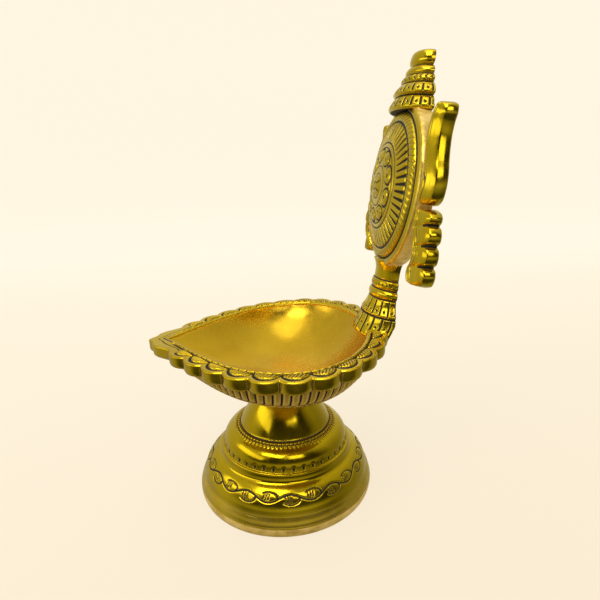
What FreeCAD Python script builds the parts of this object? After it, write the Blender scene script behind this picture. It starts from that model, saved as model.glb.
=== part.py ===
import FreeCAD, Part
import math
import os

from FreeCAD import Matrix, Vector

# Footed brass oil lamp: hollow pedestal, leaf-shaped oil bowl with a pointed spout, and a back plate
# that stands on the bowl's rear edge. Millimetres, +Z up. The origin is the centre of the foot ring
# on the surface the lamp stands on, the spout points to -Y and the plate stands at +Y.

# Pedestal
FOOT_R = 35.0
NECK_R = 8.0
NECK_TOP_Z = 42.0
WALL = 2.6
NECK_FLOOR_Z = 30.5

# Screw joint between pedestal and bowl
STUD_R = 4.0
RUNNING_GAP = 0.08
STUD_BOTTOM_Z = 33.0
STUD_TOP_Z = 46.2
SEAT_GAP = 0.1

# Bowl: widths are half widths, lengths run from the widest place to the spout tip and to the back
RIM_Z = 64.2
RIM_PITCH = math.radians(3.0)
WIDEST_Y = 5.0
RIM_WALL = 4.4
EDGE = {"width": 44.5, "front": 55.4, "back": 34.5, "tip": 1.6}
BOWL_FLOOR_Z = 48.0
BOWL_BASE_Z = NECK_TOP_Z + SEAT_GAP
BOSS_R = 9.0

# Screw that ties the stem's foot down onto the bowl's rear edge
SCREW_R = 1.5
SCREW_Y = 35.8
SCREW_HEAD_R = 2.6
SCREW_HEAD_Z = 61.2
SCREW_HEAD_H = 2.0
SCREW_TOP_Z = 70.0

# Back plate: local heights are measured up its flat back from the rim plane's height
PLATE_Y = 40.2
PLATE_LEAN = math.radians(7.0)
DISC_H = 53.5
DISC_R = 28.5
DISC_RIM_DEPTH = 5.4
DISC_DOME = 6.1
SIDE_DEPTH = 5.0
SEAM = 0.02
PIN_R = 1.5
PIN_GAP = 0.03
SIDE_PIN_R = 1.0
FLAME_PIN_H = 57.0
RIBBON_PIN_H = 46.0

STEM_DEPTH_RATIO = 0.82
CROWN_DEPTH_RATIO = 0.74


def revolve(points):
    """Solid of revolution about Z from (radius, height) points."""
    wire = Part.makePolygon([Vector(r, 0, z) for r, z in points + points[:1]])
    return Part.Face(wire).revolve(Vector(0, 0, 0), Vector(0, 0, 1), 360)


def cylinder(radius, low, high, x=0.0, y=0.0):
    return Part.makeCylinder(radius, high - low, Vector(x, y, low))


def place_on_plate(shape):
    """Moves a shape from the plate's own frame (back at Y 0, up Z) to its leaning place."""
    shape.rotate(Vector(0, 0, 0), Vector(1, 0, 0), -math.degrees(PLATE_LEAN))
    shape.translate(Vector(0, PLATE_Y, RIM_Z))
    return shape


def flat_backed(points, depth_ratio):
    """Turned profile squeezed to an ellipse and cut flat at the back."""
    squeeze = Matrix()
    squeeze.A22 = depth_ratio
    body = revolve(points).transformGeometry(squeeze)
    return body.common(Part.makeBox(200, 100, 300, Vector(-100, -100, -50)))


def pedestal():
    outer = [
        (0, 0), (FOOT_R, 0), (35.2, 1.5), (35.1, 3.3), (34.8, 4.6), (34.1, 6.2), (33.4, 7.2),
        (32.9, 9.4), (31.8, 11.4), (30.2, 13.5), (28.2, 15.2), (26.8, 16.1), (26.2, 17.4),
        (26.0, 18.4), (25.2, 19.0), (24.8, 20.5), (23.9, 22.4), (22.3, 24.3), (19.1, 26.6),
        (18.0, 28.0), (16.8, 30.4), (15.2, 33.0), (13.2, 35.8), (11.0, 38.6), (9.2, 40.7),
        (NECK_R, NECK_TOP_Z), (0, NECK_TOP_Z),
    ]
    inner = [(0, -1)]
    inner += [(FOOT_R - WALL, -1), (FOOT_R - WALL, 3.0), (29.0, 7.2), (25.6, 12.5), (23.6, 16.0)]
    inner += [(22.4, 19.0), (20.4, 22.4), (16.4, 24.6), (12.0, 27.6), (7.0, NECK_FLOOR_Z), (0, NECK_FLOOR_Z)]
    body = revolve(outer).cut(revolve(inner))
    socket_r = STUD_R + RUNNING_GAP
    return body.cut(cylinder(socket_r, STUD_BOTTOM_Z - 0.6, NECK_TOP_Z + 1))


def bowl_stud():
    stud = cylinder(STUD_R, STUD_BOTTOM_Z, STUD_TOP_Z)
    return stud.makeChamfer(0.5, [stud.Edges[0], stud.Edges[2]])


def leaf_half_width(y, size, centre):
    """Half width of the leaf outline at y: an ellipse behind the widest place, a drawn-out tip ahead."""
    if y >= centre:
        return size["width"] * math.sqrt(max(0.0, 1 - ((y - centre) / size["back"]) ** 2))
    u = (centre - y) / size["front"]
    taper = max(0.0, 1 - u ** 2.2) ** 1.24
    return size["width"] * taper + size["tip"] * u ** 4


def leaf_wire(size, z, slope, centre):
    """Closed leaf outline on a plane that rises towards the back by slope."""
    steps = 14
    side = []
    for i in range(steps + 1):
        y = centre - size["front"] * math.cos(math.pi / 2 * i / steps)
        side.append((leaf_half_width(y, size, centre), y))
    for i in range(1, steps + 1):
        y = centre + size["back"] * math.sin(math.pi / 2 * i / steps)
        side.append((leaf_half_width(y, size, centre), y))
    outline = side + [(-x, y) for x, y in side[-2::-1]]
    points = [Vector(x, y, z + slope * y) for x, y in outline]
    curve = Part.BSplineCurve()
    curve.interpolate(points)
    return Part.Wire([curve.toShape(), Part.makeLine(points[-1], points[0])])


def leaf_size(width, front, back, tip):
    return {"width": width, "front": front, "back": back, "tip": tip}


def leaf_loft(sections):
    wires = [leaf_wire(size, z, slope, centre) for size, z, slope, centre in sections]
    return Part.makeLoft(wires, True, False)


def bowl():
    slope = math.tan(RIM_PITCH)
    wall_z = RIM_Z - RIM_WALL
    slab = leaf_loft([(EDGE, RIM_Z, slope, WIDEST_Y), (EDGE, wall_z, slope, WIDEST_Y)])
    under = leaf_loft([
        (leaf_size(41.4, 51.4, 29.0, 1.6), wall_z + 0.5, slope, WIDEST_Y),
        (leaf_size(38.4, 45.0, 26.2, 1.8), wall_z - 6.4, slope * 0.8, WIDEST_Y * 0.8),
        (leaf_size(31.0, 34.5, 23.4, 3.0), wall_z - 11.0, slope * 0.4, WIDEST_Y * 0.5),
        (leaf_size(19.5, 20.5, 18.0, 4.0), BOWL_BASE_Z + 2.6, 0, 0),
        (leaf_size(BOSS_R + 1, BOSS_R + 1, BOSS_R + 1, 4.0), BOWL_BASE_Z, 0, 0),
    ])
    hollow = leaf_loft([
        (leaf_size(38.4, 49.8, 27.9, 0.5), RIM_Z + 1.0, slope, WIDEST_Y),
        (leaf_size(36.0, 43.5, 26.2, 0.8), RIM_Z - 3.5, slope, WIDEST_Y),
        (leaf_size(28.5, 30.0, 21.5, 2.0), RIM_Z - 10.0, slope * 0.6, WIDEST_Y * 0.6),
        (leaf_size(17.0, 18.0, 14.0, 3.0), BOWL_FLOOR_Z + 1.4, 0, 0),
        (leaf_size(8.0, 8.0, 8.0, 3.0), BOWL_FLOOR_Z, 0, 0),
    ])
    body = slab.fuse(under).cut(hollow).cut(stem_screw_space())
    return body.cut(cylinder(STUD_R + RUNNING_GAP, BOWL_BASE_Z - 1, STUD_TOP_Z + SEAT_GAP))


def disc_cutter(gap):
    """Round blank that cuts a saddle where a piece sits on the disc's rim."""
    blank = Part.makeCylinder(DISC_R + gap, 60, Vector(0, -30, DISC_H), Vector(0, 1, 0))
    return blank


def foot_back_wedge(foot_h):
    """Space behind the stem's foot, where its flat back turns in towards the bowl."""
    inset = 2.8
    turn_h = 5.5
    corners = [(5, turn_h), (0, turn_h), (-inset, foot_h), (-inset, foot_h - 5), (5, foot_h - 5), (5, turn_h)]
    wedge = Part.Face(Part.makePolygon([Vector(-30, y, h) for y, h in corners]))
    return wedge.extrude(Vector(60, 0, 0))


def stem(bowl_shape):
    foot_h = -1.4
    points = [
        (0, foot_h), (14.8, foot_h), (14.4, 0), (12.4, 6.6), (12.8, 7.0), (11.6, 9.2), (9.7, 12.9), (9.3, 13.2),
        (9.8, 14.4), (9.6, 16.0), (9.0, 16.5), (9.0, 19.8), (8.3, 20.3), (8.2, 23.5), (9.2, 27.5), (0, 27.5),
    ]
    body = flat_backed(points, STEM_DEPTH_RATIO)
    body = body.cut(disc_cutter(SEAM)).cut(foot_back_wedge(foot_h))
    body = body.cut(cylinder(PIN_R + PIN_GAP, 18.0, 40.0, 0, -SIDE_DEPTH / 2))
    body = place_on_plate(body)
    return body.cut(bowl_shape).cut(stem_screw_space())


def stem_screw():
    """Slotted screw that runs up through the bowl's rear edge into the stem's foot."""
    head = cylinder(SCREW_HEAD_R, SCREW_HEAD_Z, SCREW_HEAD_Z + SCREW_HEAD_H, 0, SCREW_Y)
    shank = cylinder(SCREW_R, SCREW_HEAD_Z, SCREW_TOP_Z, 0, SCREW_Y)
    slot = Part.makeBox(6, 0.8, 0.9, Vector(-3, SCREW_Y - 0.4, SCREW_HEAD_Z - 0.1))
    return head.fuse(shank).cut(slot)


def stem_screw_space():
    """Clearance for the screw's shank, and a spot-faced recess for its head."""
    shank = cylinder(SCREW_R + PIN_GAP, SCREW_HEAD_Z, SCREW_TOP_Z + 0.1, 0, SCREW_Y)
    recess = cylinder(SCREW_HEAD_R + 0.2, SCREW_HEAD_Z - 12, SCREW_HEAD_Z + SCREW_HEAD_H, 0, SCREW_Y)
    return shank.fuse(recess)


def dome_depth(radius):
    """Depth of the disc's domed front at a radius."""
    return DISC_RIM_DEPTH + DISC_DOME * (1 - (radius / DISC_R) ** 2)


def chakra_disc():
    """Domed wheel medallion with grooved rings on its front, flat at the back."""
    points = [(0, 0), (DISC_R, 0), (DISC_R, DISC_RIM_DEPTH - 0.8)]
    groove_half = 0.4
    for radius in (25.7, 22.2, 14.8, 13.2):
        for place, cut in ((groove_half, 0), (0, 0.4), (-groove_half, 0)):
            points.append((radius + place, dome_depth(radius + place) - cut))
    points += [(radius, dome_depth(radius)) for radius in (9.0, 4.5, 0)]
    body = revolve(points)
    body.rotate(Vector(0, 0, 0), Vector(1, 0, 0), 90)
    body.translate(Vector(0, 0, DISC_H))
    pin_gap_r = PIN_R + PIN_GAP
    body = body.cut(cylinder(pin_gap_r, DISC_H - DISC_R - 2, DISC_H - DISC_R + 5.1, 0, -SIDE_DEPTH / 2))
    body = body.cut(cylinder(pin_gap_r, DISC_H + DISC_R - 5.1, DISC_H + DISC_R + 2, 0, -SIDE_DEPTH / 2))
    for side in (1, -1):
        body = body.cut(side_pin_space(side, FLAME_PIN_H)).cut(side_pin_space(side, RIBBON_PIN_H))
    return place_on_plate(body)


def tier_pin(low, high):
    return place_on_plate(cylinder(PIN_R, low, high, 0, -SIDE_DEPTH / 2))


def stem_pin():
    return tier_pin(18.1, DISC_H - DISC_R + 5.0)


def crown_pin():
    return tier_pin(DISC_H + DISC_R - 5.0, 89.9)


def crown_finial():
    points = [
        (0, 78.6), (13.4, 78.6), (14.2, 79.4), (12.2, 83.2), (11.6, 83.5), (13.0, 84.4), (10.6, 87.4),
        (9.6, 87.8), (10.3, 88.4), (9.3, 90.2), (8.2, 90.5), (8.8, 91.1), (7.9, 93.0), (6.4, 93.5),
        (6.9, 94.4), (6.8, 96.6), (5.2, 98.2), (0, 98.5),
    ]
    body = flat_backed(points, CROWN_DEPTH_RATIO)
    body = body.cut(disc_cutter(SEAM))
    body = body.cut(cylinder(PIN_R + PIN_GAP, 70.0, 90.0, 0, -SIDE_DEPTH / 2))
    return place_on_plate(body)


def side_profile(points, side):
    """Closed smooth outline through (x, height) points, extruded from the flat back."""
    outline = [Vector(side * x, 0, h) for x, h in points]
    curve = Part.BSplineCurve()
    curve.interpolate(outline, True)
    face = Part.Face(Part.Wire([curve.toShape()]))
    return face.extrude(Vector(0, -SIDE_DEPTH, 0))


def flame(side):
    points = [
        (27.6, 49.8), (31.0, 49.2), (34.8, 51.2), (36.0, 55.0), (35.5, 60.0), (33.8, 65.0), (33.2, 70.0),
        (34.2, 74.6), (33.4, 77.8), (30.0, 78.4), (26.6, 76.0), (25.2, 72.0), (26.6, 66.0), (27.4, 58.0),
    ]
    body = side_profile(points, side).cut(disc_cutter(SEAM))
    body = body.cut(side_pin_space(side, FLAME_PIN_H))
    return place_on_plate(body)


def ribbon(side):
    points = [
        (26.6, 48.2), (31.0, 48.2), (35.0, 47.8), (37.0, 45.8), (35.6, 43.6), (38.4, 41.4), (38.0, 39.0),
        (36.4, 37.6), (39.2, 35.0), (38.6, 32.6), (37.0, 31.2), (39.0, 28.6), (36.6, 25.6), (32.0, 25.2),
        (27.6, 26.8), (28.6, 30.6), (31.0, 33.6), (30.0, 38.0), (27.2, 42.0),
    ]
    body = side_profile(points, side).cut(disc_cutter(SEAM))
    body = body.cut(side_pin_space(side, RIBBON_PIN_H))
    return place_on_plate(body)


def side_pin_blank(side, height, radius, inner, outer):
    start = Vector(side * inner, -SIDE_DEPTH / 2, height)
    return Part.makeCylinder(radius, outer - inner, start, Vector(side, 0, 0))


def side_pin_space(side, height):
    return side_pin_blank(side, height, SIDE_PIN_R + PIN_GAP, 22.0, 32.6)


def side_pins():
    """Four short dowels that hold the flames and ribbons to the disc's edge."""
    places = [(side, height) for side in (1, -1) for height in (FLAME_PIN_H, RIBBON_PIN_H)]
    blanks = [side_pin_blank(side, height, SIDE_PIN_R, 22.1, 32.5) for side, height in places]
    return place_on_plate(Part.makeCompound(blanks))


def build():
    bowl_shape = bowl()
    nodes = {
        "pedestal": pedestal(),
        "bowl": bowl_shape,
        "bowl_stud": bowl_stud(),
        "stem": stem(bowl_shape),
        "stem_screw": stem_screw(),
        "stem_pin": stem_pin(),
        "chakra_disc": chakra_disc(),
        "crown_finial": crown_finial(),
        "crown_pin": crown_pin(),
        "flame_right": flame(1),
        "flame_left": flame(-1),
        "ribbon_right": ribbon(1),
        "ribbon_left": ribbon(-1),
        "side_pins": side_pins(),
    }
    os.makedirs("parts", exist_ok=True)
    for name, shape in nodes.items():
        box = shape.BoundBox
        print(name, len(shape.Solids), shape.isValid(), round(shape.Volume), round(box.ZMin, 1), round(box.ZMax, 1))
        shape.exportStep("parts/" + name + ".step")


build()
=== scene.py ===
import math

import bpy
import numpy as np
from mathutils import Matrix, Vector


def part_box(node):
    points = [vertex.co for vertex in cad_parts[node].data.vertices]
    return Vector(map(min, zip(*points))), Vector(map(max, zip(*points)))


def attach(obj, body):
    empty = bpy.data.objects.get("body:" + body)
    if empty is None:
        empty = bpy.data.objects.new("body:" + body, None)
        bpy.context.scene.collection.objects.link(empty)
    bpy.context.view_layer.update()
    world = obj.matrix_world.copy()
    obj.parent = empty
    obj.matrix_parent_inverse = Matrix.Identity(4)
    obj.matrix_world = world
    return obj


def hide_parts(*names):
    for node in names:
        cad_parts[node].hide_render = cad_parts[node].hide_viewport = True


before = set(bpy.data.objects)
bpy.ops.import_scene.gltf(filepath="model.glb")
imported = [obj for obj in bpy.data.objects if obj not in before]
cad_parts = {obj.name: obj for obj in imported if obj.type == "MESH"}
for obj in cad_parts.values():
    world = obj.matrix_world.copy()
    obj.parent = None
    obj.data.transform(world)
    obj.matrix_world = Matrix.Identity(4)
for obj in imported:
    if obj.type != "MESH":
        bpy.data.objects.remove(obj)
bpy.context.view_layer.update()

# A footed brass oil lamp. Shapes are worked out in millimetres in the frame of the CAD model and scaled
# to metres when a mesh is made. The bowl's edge and the neck's top are read from the boxes of the CAD nodes;
# the other sizes are written here and follow the CAD model's values.

MM = 0.001
TAU = 2 * math.pi


def box_mm(node):
    low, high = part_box(node)
    return np.array(low) / MM, np.array(high) / MM


# ---------------------------------------------------------------- sizes

pedestal_high = box_mm("pedestal")[1]
bowl_low, bowl_high = box_mm("bowl")
neck_top = pedestal_high[2]

rim_z = 64.2
rim_slope = math.tan(math.radians(4.4))
rim_wall = 4.4
# y of the bowl's widest place, and the bowl's reach from it
widest_y = 5.0
edge_width = bowl_high[0]
edge_front = widest_y - bowl_low[1]
edge_back = bowl_high[1] - widest_y

# back plate: its flat back at rim height, its lean, and the wheel's centre height, radius and thicknesses
plate_y = 40.2
plate_lean = math.radians(7.0)
disc_h = 53.5
disc_r = 28.5
disc_depth = 5.4
disc_dome = 6.1
side_depth = 5.0

# ---------------------------------------------------------------- shared shape tools


def step(low, high, x):
    """Smooth step from 0 at low to 1 at high."""
    t = np.clip((x - low) / (high - low), 0, 1)
    return t * t * (3 - 2 * t)


def line(distance, half):
    """1 on a line, falling smoothly to 0 at half its width."""
    return 1 - step(0.35 * half, half, np.abs(distance))


def smooth_run(points, count):
    """Smooth curve through points of any dimension, sampled evenly by length."""
    p = np.array(points, float)
    t = np.r_[0, np.cumsum(np.sqrt((np.diff(p, axis=0) ** 2).sum(1)))]
    m = np.gradient(p, t, axis=0) if len(p) > 2 else np.repeat((p[1:] - p[:1]) / t[-1], 2, axis=0)
    s = np.linspace(0, t[-1], count)
    i = np.clip(np.searchsorted(t, s, side="right") - 1, 0, len(t) - 2)
    h = (t[i + 1] - t[i])[:, None]
    x = (s - t[i])[:, None] / h
    return ((2 * x**3 - 3 * x**2 + 1) * p[i] + (x**3 - 2 * x**2 + x) * h * m[i]
            + (3 * x**2 - 2 * x**3) * p[i + 1] + (x**3 - x**2) * h * m[i + 1])


def join_runs(runs):
    """One curve from several smooth runs that meet at corners."""
    parts = [smooth_run(points, count) for points, count in runs]
    return np.concatenate([parts[0]] + [part[1:] for part in parts[1:]])


def curve_normals(curve):
    """Left-hand normals of a 2-D curve."""
    d = np.gradient(curve, axis=0)
    n = np.stack([d[:, 1], -d[:, 0]], 1)
    return n / np.maximum(np.sqrt((n**2).sum(1)), 1e-9)[:, None]


def mesh_piece(name, verts, quads, tris, fields, material, body, node=None):
    """Makes a mesh object from millimetre vertices, with one value per vertex for each field."""
    faces = [np.asarray(f, np.int32).reshape(-1) for f in (quads, tris) if len(f)]
    sizes = np.r_[np.full(len(quads), 4), np.full(len(tris), 3)].astype(np.int32)
    loops = np.concatenate(faces)
    starts = np.r_[0, np.cumsum(sizes)[:-1]].astype(np.int32)
    a, b, c = (verts[quads[:, k]] for k in range(3))
    if (np.einsum("ij,ij->i", a, np.cross(b, c))).sum() < 0:
        order = np.concatenate([np.arange(s, s + n)[::-1] for s, n in zip(starts, sizes)])
        loops = loops[order]
    mesh = bpy.data.meshes.new(name)
    mesh.vertices.add(len(verts))
    mesh.vertices.foreach_set("co", (verts * MM).astype(np.float32).ravel())
    mesh.loops.add(len(loops))
    mesh.loops.foreach_set("vertex_index", loops)
    mesh.polygons.add(len(sizes))
    mesh.polygons.foreach_set("loop_start", starts)
    mesh.update(calc_edges=True)
    mesh.validate()
    for field, values in fields.items():
        layer = mesh.attributes.new(field, "FLOAT", "POINT")
        layer.data.foreach_set("value", values.astype(np.float32).ravel())
    mesh.materials.append(material)
    mesh.shade_smooth()
    piece = bpy.data.objects.new(name, mesh)
    bpy.context.scene.collection.objects.link(piece)
    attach(piece, body)
    if node:
        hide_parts(node)
    return piece


def grid_piece(name, rows, fields, material, body, node=None, closed_rows=False):
    """Closed skin from rows of points. Each row is a loop; the end rows close to a point or join up."""
    count, around = rows.shape[:2]
    index = np.arange(count * around).reshape(count, around)
    if closed_rows:
        top, bottom = index, np.roll(index, -1, axis=0)
    else:
        top, bottom = index[:-1], index[1:]
    right = np.roll(top, -1, axis=1)
    below = np.roll(bottom, -1, axis=1)
    quads = np.stack([top, right, below, bottom], -1).reshape(-1, 4)
    verts = rows.reshape(-1, 3)
    values = {k: np.broadcast_to(v, (count, around)).reshape(-1) for k, v in fields.items()}
    tris = np.zeros((0, 3), int)
    if not closed_rows:
        centres = np.stack([rows[0].mean(0), rows[-1].mean(0)])
        first, last = len(verts), len(verts) + 1
        verts = np.concatenate([verts, centres])
        values = {k: np.r_[v, v[0], v[-1]] for k, v in values.items()}
        start_fan = np.stack([index[0], np.full(around, first), np.roll(index[0], -1)], -1)
        end_fan = np.stack([np.roll(index[-1], -1), np.full(around, last), index[-1]], -1)
        tris = np.concatenate([start_fan, end_fan])
    return mesh_piece(name, verts, quads, tris, values, material, body, node)


def hand_finish(x, y, z, size):
    """Slow, shallow unevenness of a hand-finished casting, in millimetres."""
    return size * (np.sin(0.31 * x + 1.3) * np.cos(0.27 * y + 0.4) + 0.6 * np.sin(0.45 * z + 0.21 * x + 2.1)
                   + 0.4 * np.sin(0.83 * y - 0.36 * x + 0.7))


# ---------------------------------------------------------------- materials


def new_material(name):
    mat = bpy.data.materials.new(name)
    mat.use_nodes = True
    nodes = mat.node_tree.nodes
    nodes.clear()
    out = nodes.new("ShaderNodeOutputMaterial")
    shader = nodes.new("ShaderNodeBsdfPrincipled")
    mat.node_tree.links.new(shader.outputs[0], out.inputs[0])
    return mat, nodes, mat.node_tree.links, shader


def noise(nodes, links, coord, scale, detail):
    tex = nodes.new("ShaderNodeTexNoise")
    tex.inputs["Scale"].default_value = scale
    tex.inputs["Detail"].default_value = detail
    links.new(coord, tex.inputs["Vector"])
    return tex.outputs["Fac"]


def ramp(nodes, links, value, stops):
    node = nodes.new("ShaderNodeValToRGB")
    while len(node.color_ramp.elements) < len(stops):
        node.color_ramp.elements.new(0.5)
    for element, (place, colour) in zip(node.color_ramp.elements, stops):
        element.position = place
        element.color = (*colour, 1)
    links.new(value, node.inputs["Fac"])
    return node.outputs["Color"]


def mix(nodes, links, factor, a, b, kind="RGBA", blend="MIX"):
    node = nodes.new("ShaderNodeMix")
    node.data_type = kind
    if kind == "RGBA":
        node.blend_type = blend
        sockets = (node.inputs[0], node.inputs[6], node.inputs[7], node.outputs[2])
    else:
        sockets = (node.inputs[0], node.inputs[2], node.inputs[3], node.outputs[0])
    for socket, value in zip(sockets[:3], (factor, a, b)):
        if isinstance(value, bpy.types.NodeSocket):
            links.new(value, socket)
        elif isinstance(value, tuple):
            socket.default_value = (*value, 1)
        else:
            socket.default_value = value
    return sockets[3]


def map_range(nodes, links, value, low, high, to_low, to_high):
    node = nodes.new("ShaderNodeMapRange")
    links.new(value, node.inputs["Value"])
    for socket, number in zip(("From Min", "From Max", "To Min", "To Max"), (low, high, to_low, to_high)):
        node.inputs[socket].default_value = number
    return node.outputs["Result"]


def field(nodes, name):
    node = nodes.new("ShaderNodeAttribute")
    node.attribute_name = name
    return node.outputs["Fac"]


# as-cast skin, by place in its blotches, and the dark fill of cut lines, which also paints shade into
# creases, notches and under overhangs
CAST_SHADES = [(0.34, (0.60, 0.41, 0.10)), (0.5, (0.85, 0.61, 0.17)), (0.68, (0.95, 0.70, 0.32))]
PATINA_AND_SHADE_DARK, PATINA_AND_SHADE_PALE = (0.003, 0.005, 0.006), (0.008, 0.011, 0.011)
SPOT_COLOUR = (0.10, 0.065, 0.02)


def brass(name, deep, bright, rough, spots=0.0, has_fields=True, bump_strength=0.05):
    """Brass whose as-cast field and its field of patina and painted shade turn its surface dark and dull
    where they are high.
    """
    mat, nodes, links, shader = new_material(name)
    coord = nodes.new("ShaderNodeTexCoord").outputs["Object"]
    slow = noise(nodes, links, coord, 55, 3)
    colour = ramp(nodes, links, slow, [(0.3, deep), (0.7, bright)])
    fine = noise(nodes, links, coord, 900, 6)
    scratch = noise(nodes, links, coord, 300, 3)
    roughness = map_range(nodes, links, scratch, 0.3, 0.75, rough * 0.75, rough * 1.35)
    height = mix(nodes, links, 0.5, fine, scratch, "FLOAT")
    if spots:
        dots = noise(nodes, links, coord, 420, 2)
        mask = map_range(nodes, links, dots, 0.73, 0.78, 0.0, spots)
        colour = mix(nodes, links, mask, colour, SPOT_COLOUR)
    if has_fields:
        cast = field(nodes, "cast")
        blotch = noise(nodes, links, coord, 210, 5)
        cast_colour = ramp(nodes, links, blotch, CAST_SHADES)
        colour = mix(nodes, links, cast, colour, cast_colour)
        cast_rough = map_range(nodes, links, blotch, 0.3, 0.7, 0.36, 0.52)
        roughness = mix(nodes, links, cast, roughness, cast_rough, "FLOAT")
        # this field darkens engraved lines with patina, and creases, notches and overhangs with painted
        # shade
        patina_and_shade = field(nodes, "patina_and_shade")
        grime = noise(nodes, links, coord, 520, 4)
        edge = map_range(nodes, links, grime, 0.3, 0.7, 0.42, 0.62)
        ragged = nodes.new("ShaderNodeMath")
        ragged.operation = "GREATER_THAN"
        links.new(patina_and_shade, ragged.inputs[0])
        links.new(edge, ragged.inputs[1])
        soft = mix(nodes, links, 0.35, ragged.outputs[0], patina_and_shade, "FLOAT")
        dark = mix(nodes, links, grime, PATINA_AND_SHADE_DARK, PATINA_AND_SHADE_PALE)
        colour = mix(nodes, links, soft, colour, dark)
        roughness = mix(nodes, links, soft, roughness, 0.5, "FLOAT")
        metal = map_range(nodes, links, soft, 0.0, 0.8, 1.0, 0.0)
        dull = map_range(nodes, links, cast, 0.0, 1.0, 1.0, 0.55)
        metal = mix(nodes, links, 1.0, metal, dull, blend="MULTIPLY")
        links.new(metal, shader.inputs["Metallic"])
    else:
        shader.inputs["Metallic"].default_value = 1.0
    shader.inputs["Specular IOR Level"].default_value = 0.25
    bump = nodes.new("ShaderNodeBump")
    bump.inputs["Strength"].default_value = bump_strength
    bump.inputs["Distance"].default_value = 0.0004
    links.new(height, bump.inputs["Height"])
    links.new(bump.outputs[0], shader.inputs["Normal"])
    links.new(colour, shader.inputs["Base Color"])
    links.new(roughness, shader.inputs["Roughness"])
    return mat


GOLD_DEEP, GOLD_BRIGHT = (0.62, 0.415, 0.006), (0.78, 0.53, 0.014)
pedestal_mat = brass("pedestal_brass", GOLD_DEEP, GOLD_BRIGHT, 0.17, spots=0.7)
bowl_mat = brass("bowl_satin_brass", (0.76, 0.45, 0.022), (0.88, 0.55, 0.034), 0.24, bump_strength=0.015)
border_mat = brass("border_brass", (0.70, 0.45, 0.008), (0.86, 0.59, 0.025), 0.23)
plate_mat = brass("plate_brass", GOLD_DEEP, (0.82, 0.58, 0.025), 0.20)
screw_mat = brass("screw_brass", (0.56, 0.38, 0.06), (0.68, 0.48, 0.10), 0.3, has_fields=False)

# ---------------------------------------------------------------- pedestal

PED_AROUND = 760
WAVES = 12
NOTCHES = 42
BEADS = 80
# crease between the foot's rim and its engraved band, and the sharp step above the band
CREASE_R, CREASE_Z = 33.4, 7.2
STEP_EDGE_Z = 19.05
# rows of the profile that line the inside
INNER_ROWS = 18


def vine_field(u, v, pitch):
    """Engraved scroll: a wavy stem with a hatched, hooked leaf in each half wave."""
    half = pitch / 2
    middle, swing = 6.3, 1.35
    stem_v = middle + swing * np.cos(TAU * u / pitch)
    slope = -swing * TAU / pitch * np.sin(TAU * u / pitch)
    ink = line((v - stem_v) / np.sqrt(1 + slope**2), 0.46)
    k = np.round(u / half)
    up = np.where(np.mod(k, 2) == 0, -1.0, 1.0)
    lu = u - k * half - 0.4
    lv = (v - (middle - up * swing)) * up - 1.75
    ring = (np.hypot(lu / 3.1, lv / 1.75) - 1) * 2.0
    open_side = (lu > 0.2) | (lv > 1.0)
    ink = np.maximum(ink, line(ring, 0.36) * open_side * (np.abs(lu) < 3.6) * (lv > -1.5))
    for offset, reach in ((-1.9, 1.15), (-0.95, 1.3), (0.0, 1.1)):
        stroke = lu - offset - 0.22 * lv * np.abs(lv)
        ink = np.maximum(ink, line(stroke, 0.27) * (np.abs(lv - 0.05) < reach))
    return ink


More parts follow.
